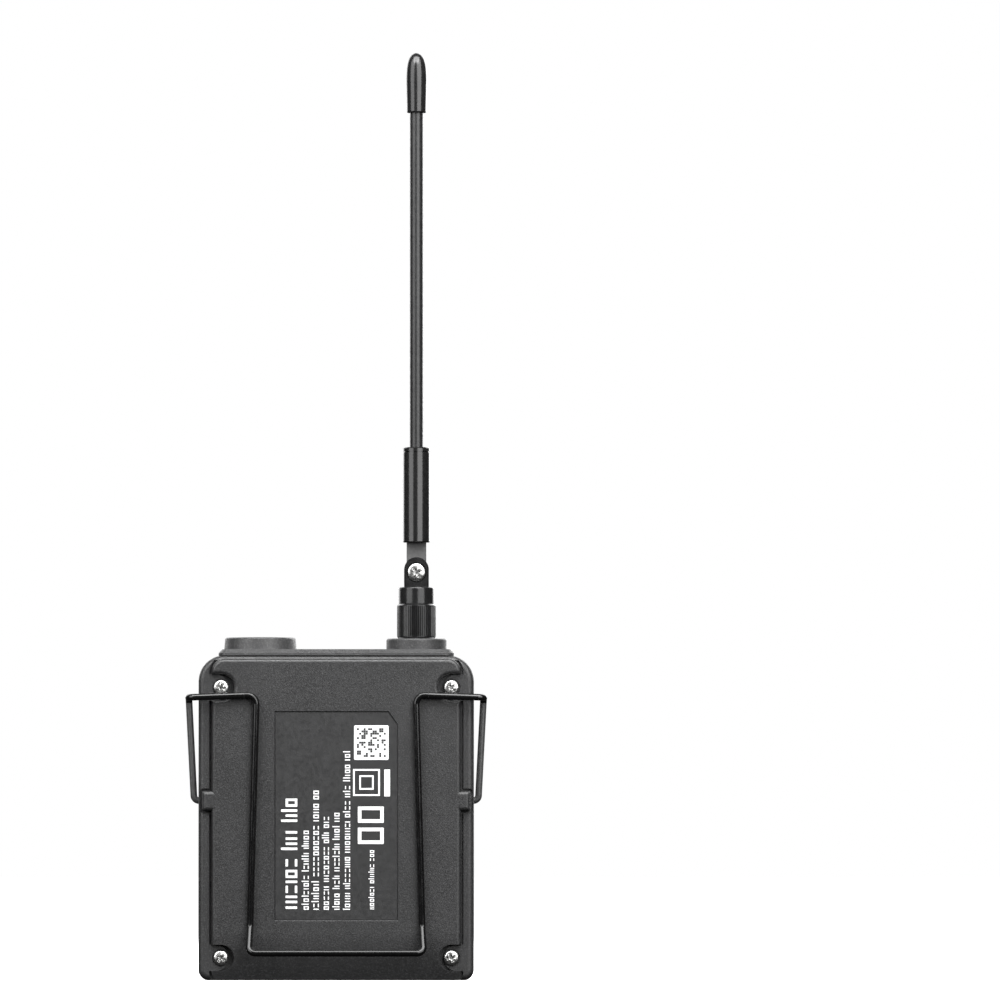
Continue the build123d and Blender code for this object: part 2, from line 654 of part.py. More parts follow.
def power_key():
    outline = Pos(0, POWER_Z) * Circle(POWER_RADIUS)
    flange = Pos(0, POWER_Z) * Circle(POWER_RADIUS + 0.8)
    return key_cap(outline, flange) + key_stem(0, POWER_Z)


def tact_switches():
    switches = []
    for x, z in [(x, KEY_Z) for x in key_places()] + [(0, POWER_Z)]:
        body = block((x - 2.1, x + 2.1), (BOARD_FRONT - 1.5, BOARD_FRONT), (z - 2.1, z + 2.1))
        switches.append(body + through(x, z, 0.9, switch_tip(), BOARD_FRONT - 1))
    return switches


def status_light_pipe():
    pipe = through(LIGHT_X, POWER_Z, LIGHT_RADIUS - 0.02, FRONT + FACE_PANEL_DEPTH - 0.15, BOARD_FRONT - 1.2)
    return fillet(pipe.faces().sort_by(Axis.Y)[0].edges(), 0.15)


def infrared_window():
    return slab(rounded(INFRARED_X, POWER_Z, 4.94, 2.94, 0.95), FRONT + FACE_PANEL_DEPTH - 0.1, FRONT + WALL + 0.4)


def light_emitters():
    return [block((x - 0.8, x + 0.8), (BOARD_FRONT - 0.8, BOARD_FRONT), (POWER_Z - 0.5, POWER_Z + 0.5))
            for x in (LIGHT_X, INFRARED_X)]


# ---------------------------------------------------------------- insides
def main_pcb():
    middle = (BOARD_LOW + BOARD_HIGH) / 2
    board = slab(rounded(0, middle, BOARD_HALF * 2, BOARD_HIGH - BOARD_LOW, 1.5), BOARD_FRONT, BOARD_BACK)
    for x, z in post_places(BOARD_POST_X, BOARD_POST_Z):
        board -= through(x, z, 0.95, BOARD_FRONT - 1, BOARD_BACK + 1)
    return board - block((JACK_X - 5, JACK_X + 5), (BOARD_FRONT - 1, BOARD_BACK + 1), (JACK_BODY_LOW - 0.3, 60))


def pcb_screws():
    screw = pan_head_screw(1.5, 0.8, 0.7, 3.4)
    return [facing_back(x, BOARD_BACK, z, screw) for x, z in post_places(BOARD_POST_X, BOARD_POST_Z)]


def rf_shield():
    can = block((-21, -4), (BOARD_BACK, BOARD_BACK + 2.0), (45.5, 51))
    return can - block((-20.8, -4.2), (BOARD_BACK - 1, BOARD_BACK + 1.8), (45.7, 50.8))


def board_chips():
    places = [(-16.0, 48.2, 3.0, 1.0), (-9.0, 48.2, 2.0, 0.9), (4.0, 48.5, 3.0, 1.0), (12.0, 48.5, 2.0, 0.9)]
    return [block((x - half, x + half), (BOARD_BACK, BOARD_BACK + tall), (z - half / 1.5, z + half / 1.5))
            for x, z, half, tall in places]


def port_shape(inset, low_x, high_x):
    """The USB-C opening's shape, along X, smaller all round by inset."""
    plane = Plane(origin=(low_x, PORT_Y, PORT_Z), x_dir=(0, 0, 1), z_dir=(1, 0, 0))
    return extrude(plane * RectangleRounded(9.2 - 2 * inset, 3.5 - 2 * inset, 1.7 - inset), high_x - low_x)


def usb_port_shell():
    shell = port_shape(0.12, 20.6, HALF_WIDTH - 0.25)
    return shell - port_shape(0.42, 21.2, 40)


def usb_port_tongue():
    return block((21.2, 26.6), (PORT_Y - 0.35, PORT_Y + 0.35), (PORT_Z - 3.3, PORT_Z + 3.3))


def battery_cell():
    cell = block((-CELL_HALF, CELL_HALF), (CELL_FRONT, CELL_BACK), (CELL_LOW, CELL_HIGH))
    return fillet(cell.edges().filter_by(Axis.Z), 2.2)


def battery_pad():
    return block((-14, 14), (CELL_BACK, LEDGE - WALL), (13, 40))


def battery_connector():
    return block((-9, -2), (BOARD_BACK, BOARD_BACK + 2.2), (53.5, 57))


def battery_leads():
    leads = []
    for x in (-7.0, -4.0):
        points = [(x, BOARD_BACK + 1.2, 53.5), (x, BOARD_BACK + 1.2, 52.2), (x, 2.6, 50.4), (x, 2.6, CELL_HIGH)]
        leads.append(wire_along(points, [0.55, 1.2], 0.45))
    return leads


def antenna_coax():
    start = HEIGHT - WALL - 7
    points = [(ANTENNA_X, 0, start), (ANTENNA_X, 0, 55.5), (ANTENNA_X, BOARD_BACK + 0.7, 53.4)]
    return wire_along(points, [0.9], 0.55)


# ---------------------------------------------------------------- write every node
save("front_cover", front_cover())
save("rear_cover", rear_cover())
save("top_plate", top_plate())
save("rating_label", rating_label())
save("case_screws", *case_screws())
save("clip_bushings", *clip_bushings())
save("clip_arm_left", clip_arm(1))
save("clip_arm_right", clip_arm(-1))
save("belt_clip_loop", belt_clip_loop())
save("mic_jack", mic_jack())
save("mic_jack_nut", mic_jack_nut())
save("sma_socket", sma_socket())
save("sma_insulator", sma_insulator())
save("sma_contact", sma_contact())
save("sma_socket_nut", sma_socket_nut())
save("antenna_nut", antenna_nut())
save("antenna_knuckle", antenna_knuckle())
save("antenna_pivot_screw", antenna_pivot_screw())
save("antenna_ring", antenna_ring())
save("antenna_plug_insulator", antenna_plug_insulator())
save("antenna_plug_pin", antenna_plug_pin())
save("antenna_ferrule", antenna_ferrule())
save("antenna_rod", antenna_rod())
save("antenna_whip_wire", antenna_whip_wire())
save("antenna_cap", antenna_cap())
save("display_window", display_window())
save("lcd_module", lcd_module())
save("lcd_holder", lcd_holder())
for key_name, key_x in zip(("minus_button", "set_button", "plus_button"), key_places()):
    save(key_name, menu_key(key_x))
save("power_button", power_key())
save("tact_switches", *tact_switches())
save("status_light_pipe", status_light_pipe())
save("infrared_window", infrared_window())
save("light_emitters", *light_emitters())
save("main_pcb", main_pcb())
save("pcb_screws", *pcb_screws())
save("rf_shield", rf_shield())
save("board_chips", *board_chips())
save("usb_port_shell", usb_port_shell())
save("usb_port_tongue", usb_port_tongue())
save("battery_cell", battery_cell())
save("battery_pad", battery_pad())
save("battery_connector", battery_connector())
save("battery_leads", *battery_leads())
save("antenna_coax", antenna_coax())
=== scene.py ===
import json
import math
import random

import bmesh
import bpy
from mathutils import Matrix, Vector


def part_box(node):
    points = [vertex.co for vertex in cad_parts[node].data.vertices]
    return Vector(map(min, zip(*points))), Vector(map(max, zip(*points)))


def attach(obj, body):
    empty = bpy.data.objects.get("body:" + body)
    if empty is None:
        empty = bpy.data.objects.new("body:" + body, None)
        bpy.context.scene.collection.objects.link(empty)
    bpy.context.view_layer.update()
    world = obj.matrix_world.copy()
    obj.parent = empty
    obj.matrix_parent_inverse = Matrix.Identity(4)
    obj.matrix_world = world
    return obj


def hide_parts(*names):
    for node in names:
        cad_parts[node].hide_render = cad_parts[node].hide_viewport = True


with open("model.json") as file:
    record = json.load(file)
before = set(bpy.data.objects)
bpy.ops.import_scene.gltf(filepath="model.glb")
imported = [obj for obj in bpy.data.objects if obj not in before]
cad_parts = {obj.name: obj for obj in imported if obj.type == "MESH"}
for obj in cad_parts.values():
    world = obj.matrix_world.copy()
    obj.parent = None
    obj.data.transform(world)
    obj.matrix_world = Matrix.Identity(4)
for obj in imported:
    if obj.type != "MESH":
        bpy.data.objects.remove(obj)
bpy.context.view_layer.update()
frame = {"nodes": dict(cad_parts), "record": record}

MM = 0.001
nodes = frame["nodes"]


# ---------------------------------------------------------------- places, all worked out from the frame
back_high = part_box("rear_cover")[1]
label_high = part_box("rating_label")[1]

BLADE_REACH = 0.00835            # from the lowest point of the antenna's ferrule up to its sleeve
ARM_BEND = 0.0022                # from the top of a clip arm down to the end of its upper bend


# ---------------------------------------------------------------- material kit
class Surface:
    """One procedural material: a principled shader, and the node chains that feed it."""

    def __init__(self, name, roughness=0.5, metallic=0.0, **constants):
        self.material = bpy.data.materials.new(name)
        self.material.use_nodes = True
        self.tree = self.material.node_tree
        self.shader = self.tree.nodes["Principled BSDF"]
        self.shader.inputs["Metallic"].default_value = metallic
        self.shader.inputs["Roughness"].default_value = roughness
        for socket, value in constants.items():
            self.shader.inputs[socket.replace("_", " ")].default_value = value
        self.place = self.tree.nodes.new("ShaderNodeTexCoord").outputs["Object"]
        self.bumped = None

    def add(self, kind, **settings):
        node = self.tree.nodes.new(kind)
        for key, value in settings.items():
            setattr(node, key, value)
        return node

    def link(self, source, target):
        self.tree.links.new(source, target)

    def stretched(self, scale):
        """The object's coordinates, stretched so that a pattern runs along one direction."""
        mapping = self.add("ShaderNodeMapping")
        mapping.inputs["Scale"].default_value = scale
        self.link(self.place, mapping.inputs["Vector"])
        return mapping.outputs["Vector"]

    def noise(self, size, detail=3.0, stretch=(1, 1, 1)):
        """Noise whose blobs are about size across, in metres."""
        node = self.add("ShaderNodeTexNoise")
        node.inputs["Scale"].default_value = 1 / size
        node.inputs["Detail"].default_value = detail
        self.link(self.stretched(stretch), node.inputs["Vector"])
        return node.outputs["Fac"]

    def ramp(self, value, low, high, start=0.35, end=0.65):
        """Maps a grey value to the range from low to high."""
        node = self.add("ShaderNodeMapRange")
        node.inputs["From Min"].default_value = start
        node.inputs["From Max"].default_value = end
        node.inputs["To Min"].default_value = low
        node.inputs["To Max"].default_value = high
        self.link(value, node.inputs["Value"])
        return node.outputs["Result"]

    def mix(self, factor, first, second):
        """A colour between two colours or colour outputs."""
        node = self.add("ShaderNodeMix", data_type="RGBA")
        self.link(factor, node.inputs["Factor"])
        for socket, value in (("A", first), ("B", second)):
            target = [s for s in node.inputs if s.name == socket and s.type == "RGBA"][0]
            if hasattr(value, "is_linked"):
                self.link(value, target)
            else:
                target.default_value = (*value, 1)
        return [s for s in node.outputs if s.type == "RGBA"][0]

    def colour(self, source):
        self.link(source, self.shader.inputs["Base Color"])
        return self

    def roughen(self, size, low, high, stretch=(1, 1, 1)):
        self.link(self.ramp(self.noise(size, stretch=stretch), low, high), self.shader.inputs["Roughness"])
        return self

    def bump(self, value, height, strength=1.0):
        """Adds relief on top of any relief that is already there. Height is in metres."""
        node = self.add("ShaderNodeBump")
        node.inputs["Strength"].default_value = strength
        node.inputs["Distance"].default_value = height
        self.link(value, node.inputs["Height"])
        if self.bumped is not None:
            self.link(self.bumped, node.inputs["Normal"])
        self.bumped = node.outputs["Normal"]
        self.link(self.bumped, self.shader.inputs["Normal"])
        return self

    def edges(self, radius):
        """1 along edges and corners, 0 on flat ground."""
        bevel = self.add("ShaderNodeBevel", samples=6)
        bevel.inputs["Radius"].default_value = radius
        geometry = self.add("ShaderNodeNewGeometry")
        dot = self.add("ShaderNodeVectorMath", operation="DOT_PRODUCT")
        self.link(bevel.outputs["Normal"], dot.inputs[0])
        self.link(geometry.outputs["Normal"], dot.inputs[1])
        return self.ramp(dot.outputs["Value"], 1.0, 0.0, 0.80, 0.99)


def moulded_plastic(name, base, rough, grain=0.00030, relief=0.00003, edge_highlight_gain=1.3):
    """Spark-textured black moulding: fine grain, cloudy tone, and edges painted lighter as a painted
    highlight.
    """
    s = Surface(name, roughness=rough)
    darker = tuple(channel * 0.86 for channel in base)
    lighter = tuple(channel * 1.12 for channel in base)
    painted_edge_highlight = tuple(channel * edge_highlight_gain for channel in base)
    sparkle = tuple(channel * 2.2 for channel in base)
    cloud = s.mix(s.ramp(s.noise(0.009), 0, 1), darker, lighter)
    speck = s.mix(s.ramp(s.noise(grain, detail=2), 0, 1, 0.50, 0.72), cloud, sparkle)
    # Painted highlight: the colour lightens along rounded edges and corners, standing in for light caught
    # there.
    s.colour(s.mix(s.edges(0.0004), speck, painted_edge_highlight))
    s.roughen(grain * 1.3, rough - 0.10, rough + 0.10)
    return s.bump(s.noise(grain, detail=2), relief, 1.0).material


def metal(name, base, rough, size=0.0004, stretch=(1, 1, 1), relief=0.000004, metallic=1.0, wear=None,
          **constants):
    """Bare, plated or anodised metal with tool marks along one direction."""
    s = Surface(name, roughness=rough, metallic=metallic, **constants)
    marks = s.noise(size, detail=4, stretch=stretch)
    darker = tuple(channel * 0.82 for channel in base)
    tone = s.mix(s.ramp(marks, 0, 1), darker, base)
    if wear:
        tone = s.mix(s.edges(0.00015), tone, wear)
    s.colour(tone)
    s.link(s.ramp(marks, rough * 0.75, rough * 1.3), s.shader.inputs["Roughness"])
    return s.bump(marks, relief, 0.5).material


def plain(name, base, rough, size=0.0006, relief=0.000006, vary=0.12, metallic=0.0, **constants):
    """Smooth moulded or sheet material with slight changes of tone and finish."""
    s = Surface(name, roughness=rough, metallic=metallic, **constants)
    darker = tuple(channel * (1 - vary) for channel in base)
    lighter = tuple(min(1, channel * (1 + vary)) for channel in base)
    s.colour(s.mix(s.ramp(s.noise(size * 6), 0, 1), darker, lighter))
    s.roughen(size * 3, rough * 0.85, min(1, rough * 1.15))
    return s.bump(s.noise(size), relief, 0.6).material


def rubber(name, base, rough, relief=0.000008):
    s = Surface(name, roughness=rough)
    dust = tuple(channel * 1.25 for channel in base)
    s.colour(s.mix(s.ramp(s.noise(0.0012), 0, 1), base, dust))
    s.roughen(0.0005, rough - 0.05, rough + 0.07)
    return s.bump(s.noise(0.00018, detail=2), relief, 0.7).material


def split_finish(name, height, below, above):
    """One part with two finishes, which meet at a height. A finish is two grey tones and a roughness."""
    s = Surface(name)
    split = s.add("ShaderNodeSeparateXYZ")
    s.link(s.place, split.inputs["Vector"])
    is_below = s.ramp(split.outputs["Z"], 1, 0, height - 0.00005, height + 0.00005)
    clouds = s.ramp(s.noise(0.0007), 0, 1)
    tones = [s.mix(clouds, (dark,) * 3, (light,) * 3) for dark, light, _ in (above, below)]
    s.colour(s.mix(is_below, *tones))
    s.link(s.ramp(is_below, above[2], below[2], 0, 1), s.shader.inputs["Roughness"])
    return s.bump(s.noise(0.0002, detail=2), 0.000003, 0.6).material


def circuit_board(name):
    """Green solder mask with copper tracks showing through as a lighter grid."""
    s = Surface(name, roughness=0.35, Coat_Weight=0.4)
    tracks = s.add("ShaderNodeTexBrick")
    tracks.inputs["Scale"].default_value = 160
    tracks.inputs["Mortar Size"].default_value = 0.03
    s.link(s.stretched((1, 1, 1)), tracks.inputs["Vector"])
    green = s.mix(s.ramp(s.noise(0.004), 0, 1), (0.004, 0.05, 0.02), (0.006, 0.075, 0.03))
    s.colour(s.mix(tracks.outputs["Fac"], green, (0.02, 0.13, 0.05)))
    return s.bump(tracks.outputs["Fac"], 0.00002, 0.5).material


materials = {
    "casing_plastic": moulded_plastic("casing_plastic", (0.018, 0.018, 0.0184), 0.42),
    # The top plate's plastic is the casing plastic painted lighter: painted light, for the light that falls
    # on the plate from above.
    "plate_plastic_painted_lighter": moulded_plastic("plate_plastic_painted_lighter", (0.030, 0.030, 0.0305), 0.48, relief=0.000012),
    "label_film": plain("label_film", (0.016, 0.016, 0.0164), 0.45, size=0.0003),
    "bright_screw": metal("bright_screw", (0.62, 0.62, 0.61), 0.27, size=0.0003, wear=(0.85, 0.85, 0.83)),
    "clip_wire": metal("clip_wire", (0.004, 0.004, 0.0041), 0.14, metallic=0.0, size=0.0005,
                       stretch=(1, 1, 0.15), relief=0.000002, Specular_IOR_Level=0.38),
    "bush_plastic": plain("bush_plastic", (0.09, 0.09, 0.09), 0.5),
    "socket_plastic": plain("socket_plastic", (0.03, 0.03, 0.03), 0.3),
    "black_metal": plain("black_metal", (0.012, 0.012, 0.0123), 0.20, size=0.0004, relief=0.0000015,
                         metallic=0.15),
    "gold_metal": metal("gold_metal", (0.86, 0.62, 0.27), 0.22),
    "plain_steel": metal("plain_steel", (0.6, 0.6, 0.6), 0.3, stretch=(1, 1, 5)),
    "white_plastic": plain("white_plastic", (0.8, 0.8, 0.77), 0.4, vary=0.04),
    "rod_rubber": rubber("rod_rubber", (0.010, 0.010, 0.0102), 0.33, relief=0.0000025),
    "ferrule_finish": split_finish("ferrule_finish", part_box("antenna_ferrule")[0].z + BLADE_REACH,
                                   (0.052, 0.066, 0.60), (0.008, 0.012, 0.17)),
    # Clip arms: below the upper bend the wire is painted lighter, a painted reflection of the bright
    # surroundings, and given a rougher finish; above it stays dark and glossy.
    "arm_wire_painted_reflection": split_finish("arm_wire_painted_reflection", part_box("clip_arm_left")[1].z - ARM_BEND,
                             (0.045, 0.060, 0.30), (0.004, 0.005, 0.14)),
    "tip_rubber": rubber("tip_rubber", (0.009, 0.009, 0.0092), 0.17, relief=0.0000015),
    "display_glass": plain("display_glass", (0.008, 0.009, 0.011), 0.06, size=0.002, relief=0.0000005,
                           Coat_Weight=1.0, Coat_Roughness=0.02),
    "screen": plain("screen", (0.03, 0.045, 0.06), 0.25),
    "clear_plastic": plain("clear_plastic", (0.55, 0.7, 0.55), 0.2, vary=0.05, Transmission_Weight=0.5),
    "button_rubber": rubber("button_rubber", (0.075, 0.075, 0.077), 0.55),
    "switch_plastic": plain("switch_plastic", (0.035, 0.035, 0.035), 0.45),
    "board": circuit_board("board"),
    "cell_foil": metal("cell_foil", (0.72, 0.72, 0.71), 0.35, size=0.002),
    "foam": rubber("foam", (0.10, 0.10, 0.10), 0.8),
    "lead_insulation": plain("lead_insulation", (0.12, 0.01, 0.01), 0.35),
    "print_ink": plain("print_ink", (0.78, 0.78, 0.78), 0.5, size=0.0003, vary=0.05),
    "print_dark": plain("print_dark", (0.03, 0.03, 0.03), 0.5),
    "screen_light": plain("screen_light", (0.45, 0.62, 0.72), 0.4, vary=0.05,
                          Emission_Color=(0.35, 0.62, 0.85, 1), Emission_Strength=0.35),
    "key_ink": plain("key_ink", (0.55, 0.55, 0.55), 0.5, vary=0.06),
}

# Nodes whose finish differs from that of their slot in the record.
OWN_MATERIAL = {"top_plate": "plate_plastic_painted_lighter", "antenna_ferrule": "ferrule_finish",
                "clip_arm_left": "arm_wire_painted_reflection", "clip_arm_right": "arm_wire_painted_reflection"}


def dress_cad_nodes():
    """Gives every CAD node its slot's material, or its own where OWN_MATERIAL names one."""
    for entry in frame["record"]["subparts"]:
        piece = nodes[entry["node"]]
        name = OWN_MATERIAL.get(entry["node"], entry["material_slot"])
        piece.data.materials.clear()
        piece.data.materials.append(materials[name])


# ---------------------------------------------------------------- mesh kit
def new_piece(name, mesh, material, body):
    piece = bpy.data.objects.new(name, mesh)
    bpy.context.scene.collection.objects.link(piece)
    mesh.materials.append(materials[material])
    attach(piece, body)
    return piece


def from_bmesh(name, mesh_data):
    bmesh.ops.recalc_face_normals(mesh_data, faces=mesh_data.faces)
    mesh = bpy.data.meshes.new(name)
    mesh_data.to_mesh(mesh)
    mesh_data.free()
    return mesh


def apply_modifiers(piece):
    """Bakes a piece's modifiers into its mesh."""
    graph = bpy.context.evaluated_depsgraph_get()
    mesh = bpy.data.meshes.new_from_object(piece.evaluated_get(graph))
    piece.modifiers.clear()
    piece.data = mesh


def prism(mesh_data, outline, place, thickness):
    """A flat shape with a given outline, in X and Z about a place. A negative thickness faces the front."""
    outer = [mesh_data.verts.new((place[0] + x, place[1] + thickness, place[2] + z)) for x, z in outline]
    inner = [mesh_data.verts.new((place[0] + x, place[1], place[2] + z)) for x, z in outline]
    mesh_data.faces.new(outer)
    mesh_data.faces.new(inner)
    for index in range(len(outline)):
        after = (index + 1) % len(outline)
        mesh_data.faces.new((outer[index], outer[after], inner[after], inner[index]))


def rounded_outline(width, height, radius, steps=4):
    """The corners of a rounded rectangle, anticlockwise."""
    points = []
    for turn, (side_x, side_z) in enumerate(((1, -1), (1, 1), (-1, 1), (-1, -1))):
        for step in range(steps + 1):
            angle = math.radians(-90 + 90 * turn + 90 * step / steps)
            points.append((side_x * (width / 2 - radius) + radius * math.cos(angle),
                           side_z * (height / 2 - radius) + radius * math.sin(angle)))
    return points


# ---------------------------------------------------------------- camera, lights and floor
PICTURE_WIDTH = 0.2084           # metres across the picture at the casing's back
CAMERA_DISTANCE = 2.4
EYE_HEIGHT = 0.030
AIM = Vector((-0.0341, back_high.y, 0.10005))
LIGHT_TARGET = Vector((0, 0, 0.07))
FLOOR_HALF = 6.0                 # half the floor's side
FLOOR_GLOW = 1.1                 # keeps the floor white, whatever light falls on it
AMBIENT = 0.03                   # the surroundings' strength for everything but the camera


def make_camera():
    data = bpy.data.cameras.new("camera")
    camera = bpy.data.objects.new("camera", data)
    bpy.context.scene.collection.objects.link(camera)
    camera.location = (0, back_high.y + CAMERA_DISTANCE, EYE_HEIGHT)
    reach = AIM - camera.location
    camera.rotation_euler = reach.to_track_quat("-Z", "Y").to_euler()
    data.sensor_width = 36
    data.lens = data.sensor_width * reach.length / PICTURE_WIDTH
    data.clip_start = 0.01
    bpy.context.scene.camera = camera
    bpy.context.scene.view_settings.view_transform = "Standard"


def softbox(name, azimuth, elevation, size, power, distance):
    """A rectangular light aimed at the object. Azimuth 0 is straight behind it, and grows towards -X."""
    data = bpy.data.lights.new(name, "AREA")
    data.shape = "RECTANGLE"
    data.size, data.size_y = size
    data.energy = power
    light = bpy.data.objects.new(name, data)
    bpy.context.scene.collection.objects.link(light)
    around = math.radians(azimuth)
    up = math.radians(elevation)
    direction = Vector((-math.sin(around) * math.cos(up), math.cos(around) * math.cos(up), math.sin(up)))
    light.location = LIGHT_TARGET + distance * direction
    light.rotation_euler = (LIGHT_TARGET - light.location).to_track_quat("-Z", "Y").to_euler()
    light.visible_camera = False


def make_lights():
    softbox("left_box", -46, 25, (0.48, 0.60), 3.5, distance=0.65)
    softbox("right_box", 31, 25, (0.52, 0.60), 5.0, distance=0.65)
    softbox("top_box", 0, 58, (0.5, 0.3), 5.0, distance=0.50)
    softbox("front_left_box", 150, 25, (0.6, 0.7), 6, distance=0.8)
    softbox("front_right_box", -150, 25, (0.6, 0.7), 4, distance=0.8)


def make_floor():
    """A pale floor, wide enough to reach past every viewpoint."""
    data = bmesh.new()
    corners = ((-1, -1), (1, -1), (1, 1), (-1, 1))
    data.faces.new([data.verts.new((FLOOR_HALF * x, FLOOR_HALF * y, 0)) for x, y in corners])
    mesh = from_bmesh("floor", data)
    s = Surface("floor_paper", roughness=0.95)
    tone = s.mix(s.ramp(s.noise(0.2), 0, 1), (0.93, 0.93, 0.93), (0.95, 0.95, 0.95))
    s.colour(tone)
    s.link(tone, s.shader.inputs["Emission Color"])
    s.shader.inputs["Emission Strength"].default_value = FLOOR_GLOW
    mesh.materials.append(s.material)
    floor = bpy.data.objects.new("floor", mesh)
    bpy.context.scene.collection.objects.link(floor)
    floor.visible_glossy = False
    floor.visible_diffuse = False


def make_surroundings():
    """Looks white to the camera, and gives only a weak white light to everything else."""
    world = bpy.data.worlds.new("studio")
    bpy.context.scene.world = world
    world.use_nodes = True
    background = world.node_tree.nodes["Background"]
    background.inputs["Color"].default_value = (1, 1, 1, 1)
    seen = world.node_tree.nodes.new("ShaderNodeLightPath")
    strength = world.node_tree.nodes.new("ShaderNodeMapRange")
    strength.inputs["To Min"].default_value = AMBIENT
    strength.inputs["To Max"].default_value = 1.0
    world.node_tree.links.new(seen.outputs["Is Camera Ray"], strength.inputs["Value"])
    world.node_tree.links.new(strength.outputs["Result"], background.inputs["Strength"])


# ---------------------------------------------------------------- printed label
# Each row of print in mm: its low and high X, then the Z where it starts and the Z where it ends.
WORD_ROWS = ((8.1, 11.5, 14.9, 36.8), (5.7, 7.2, 14.7, 31.2), (3.6, 5.2, 14.7, 39.3), (1.5, 3.0, 14.7, 34.1),
             (-0.7, 0.8, 14.7, 35.3), (-2.9, -1.4, 14.7, 48.2), (-7.9, -6.7, 14.8, 26.8))
INK_THICKNESS = 0.012 * MM
CODE_SIDE = 7.2 * MM
CODE_CENTRE = (-7.3 * MM, 49.5 * MM)
CODE_CELLS = 13
CODE_SHARE = 0.84                # of the white patch's side that the cells cover
CELL_FILL = 0.42                 # how many of the cells are dark
FRAME_X = -6.3 * MM              # the square frame, one inside another
FRAME_Z = 41.2 * MM


def print_bar(data, x, z, width, height, lift=0.0, corner=0.2):
    """One flat printed bar on the label, centred at x and z."""
    radius = corner * min(width, height)
    prism(data, rounded_outline(width, height, radius, 3), (x, label_high.y + lift, z), INK_THICKNESS)


def print_frame(data, x, z, width, height, line):
    """A hollow rectangle made of four bars."""
    for side in (-1, 1):
        print_bar(data, x + side * (width - line) / 2, z, line, height)
        print_bar(data, x, z + side * (height - line) / 2, width - 2 * line, line, corner=0)


def make_word_rows():
    """Rows of fine strokes, boxes and dots, grouped as words are, with nothing to read in them."""
    rng = random.Random(7)
    data = bmesh.new()
    for low, high, start, end in WORD_ROWS:
        height = high - low
        line = height * 0.15
        short = height * 0.72
        cursor = start
        left_in_word = rng.randint(5, 9)
        while cursor < end - line:
            kind = rng.random()
            if kind < 0.30:
                width = height * 0.50
                print_frame(data, (low + short / 2) * MM, (cursor + width / 2) * MM,
                            short * MM, width * MM, line * MM)
            elif kind < 0.45:
                width = height * 0.45
                print_bar(data, (low + line / 2) * MM, (cursor + width / 2) * MM,
                          line * MM, width * MM)
                print_bar(data, (low + short - line / 2) * MM, (cursor + width / 2) * MM,
                          line * MM, width * MM)
            else:
                width = line
                tall = height if kind < 0.62 else short
                print_bar(data, (low + tall / 2) * MM, (cursor + width / 2) * MM, tall * MM, width * MM)
            cursor += width + height * rng.choice((0.16, 0.20, 0.24))
            left_in_word -= 1
            if left_in_word == 0:
                cursor += height * 0.40
                left_in_word = rng.randint(4, 10)
    return data


def make_label_print():
    data = make_word_rows()
    for z in (30.1, 34.5):
        print_frame(data, -7.2 * MM, z * MM, 5.4 * MM, 3.4 * MM, 0.75 * MM)
    for side in (5.6 * MM, 3.0 * MM):
        print_frame(data, FRAME_X, FRAME_Z, side, side, 0.35 * MM)
    print_bar(data, -10.6 * MM, 41.1 * MM, 1.2 * MM, 5.6 * MM, corner=0.05)
    print_bar(data, *CODE_CENTRE, CODE_SIDE, CODE_SIDE, corner=0.04)
    new_piece("label_print", from_bmesh("label_print", data), "print_ink", "casing")


def make_code_cells():
    """A square of scattered dark cells on the white patch: a pattern only, which holds no data."""
    rng = random.Random(3)
    data = bmesh.new()
    pitch = CODE_SIDE * CODE_SHARE / CODE_CELLS
    for row in range(CODE_CELLS):
        for column in range(CODE_CELLS):
            if rng.random() < CELL_FILL:
                x = CODE_CENTRE[0] + (column - (CODE_CELLS - 1) / 2) * pitch
                z = CODE_CENTRE[1] + (row - (CODE_CELLS - 1) / 2) * pitch
                print_bar(data, x, z, pitch * 0.96, pitch * 0.96, lift=INK_THICKNESS, corner=0)
    new_piece("label_pattern", from_bmesh("label_pattern", data), "print_dark", "casing")


# ---------------------------------------------------------------- marks on the display side
def front_bar(data, x, y, z, width, height, corner=0.3):
    """One flat printed bar on a surface that faces the front."""
    prism(data, rounded_outline(width, height, corner * min(width, height), 4), (x, y, z), -INK_THICKNESS)


def arc_outline(radius, line, start, end, steps=28):
    """The outline of an open ring, with angles in degrees."""
    angles = [math.radians(start + (end - start) * step / steps) for step in range(steps + 1)]
    outer = [((radius + line / 2) * math.cos(a), (radius + line / 2) * math.sin(a)) for a in angles]
    inner = [((radius - line / 2) * math.cos(a), (radius - line / 2) * math.sin(a)) for a in reversed(angles)]
    return outer + inner


def make_key_marks():
    """A minus, a dot, a plus and a power mark, each moving with its key."""
    line = 0.42 * MM
    for key in ("minus", "set", "plus", "power"):
        low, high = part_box(key + "_button")
        middle = (low + high) / 2
        data = bmesh.new()
        if key in ("minus", "plus"):
            front_bar(data, middle.x, low.y, middle.z, 2.4 * MM, line)
        if key == "plus":
            for side in (-1, 1):
                front_bar(data, middle.x, low.y, middle.z + side * 0.72 * MM, line, 0.96 * MM)
        if key == "set":
            front_bar(data, middle.x, low.y, middle.z, 1.5 * MM, 1.5 * MM, corner=0.5)
        if key == "power":
            prism(data, arc_outline(1.25 * MM, line, 125, 415), (middle.x, low.y, middle.z), -INK_THICKNESS)
            front_bar(data, middle.x, low.y, middle.z + 1.2 * MM, line, 1.5 * MM)
        new_piece(key + "_mark", from_bmesh(key + "_mark", data), "key_ink", key + "_key")


METER_BARS = 14
METER_LIT = 9                    # bars of the level meter that stand at full height


